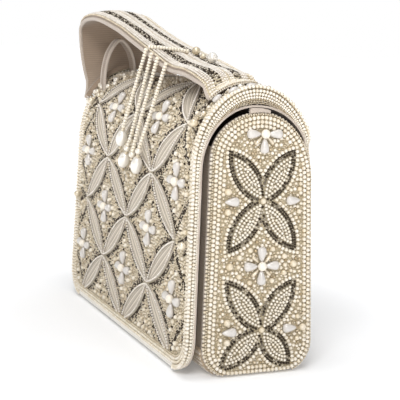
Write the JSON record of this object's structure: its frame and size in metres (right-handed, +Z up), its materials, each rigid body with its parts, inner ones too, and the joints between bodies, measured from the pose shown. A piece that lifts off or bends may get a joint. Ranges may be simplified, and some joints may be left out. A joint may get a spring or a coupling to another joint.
{
  "type": "beaded handbag",
  "caption": "Structured top-handle handbag with an arched cover and front flap, padded end panels, a wide strap handle, a keeper loop and a hanging bead tassel.",
  "frame": {"origin": "on the floor under the bag, midway along its length and midway through the depth of its end panels", "axes": "+X along the bag to the end panel that faces the viewer, +Y to the back, +Z up; the flap faces -Y"},
  "size_m": [0.2814, 0.0983, 0.239],
  "materials": {
    "taupe_fabric": "matte ribbed cloth",
    "cream_fabric": "matte cloth",
    "beadwork": "padded cloth covered in sewn beads",
    "bead_string": "pearly",
    "pearl": "pearly",
    "white_stone": "polished"
  },
  "bodies": {
    "root": {"body_shell": "taupe_fabric", "cover_flap": "beadwork", "keeper_loop": "taupe_fabric", "handle": "beadwork", "end_panel_right": "beadwork", "top_tab_right": "cream_fabric", "end_flower_right_middle": "white_stone", "end_flower_right_top": "white_stone", "side_stone_right_1_front": "white_stone", "side_stone_right_1_back": "white_stone", "side_stone_right_2_front": "white_stone", "side_stone_right_2_back": "white_stone", "end_panel_left": "beadwork", "top_tab_left": "cream_fabric", "end_flower_left_middle": "white_stone", "end_flower_left_top": "white_stone", "side_stone_left_1_front": "white_stone", "side_stone_left_1_back": "white_stone", "side_stone_left_2_front": "white_stone", "side_stone_left_2_back": "white_stone", "flap_flower_1": "white_stone", "flap_flower_2": "white_stone", "flap_flower_3": "white_stone", "flap_flower_4": "white_stone", "flap_flower_5": "white_stone", "flap_flower_6": "white_stone", "flap_flower_7": "white_stone", "flap_flower_8": "white_stone", "flap_flower_9": "white_stone", "edge_pearl_1": "pearl", "edge_pearl_2": "pearl", "edge_pearl_3": "pearl", "edge_pearl_4": "pearl", "tassel_strand_1": "bead_string", "tassel_drop_1": "pearl", "tassel_strand_2": "bead_string", "tassel_drop_2": "pearl", "tassel_strand_3": "bead_string", "tassel_drop_3": "pearl", "tassel_strand_4": "bead_string", "tassel_drop_4": "pearl", "tassel_wrap": "bead_string", "handle_pearl_1": "pearl", "handle_pearl_2": "pearl", "handle_pearl_3": "pearl"}
  },
  "joints": []
}
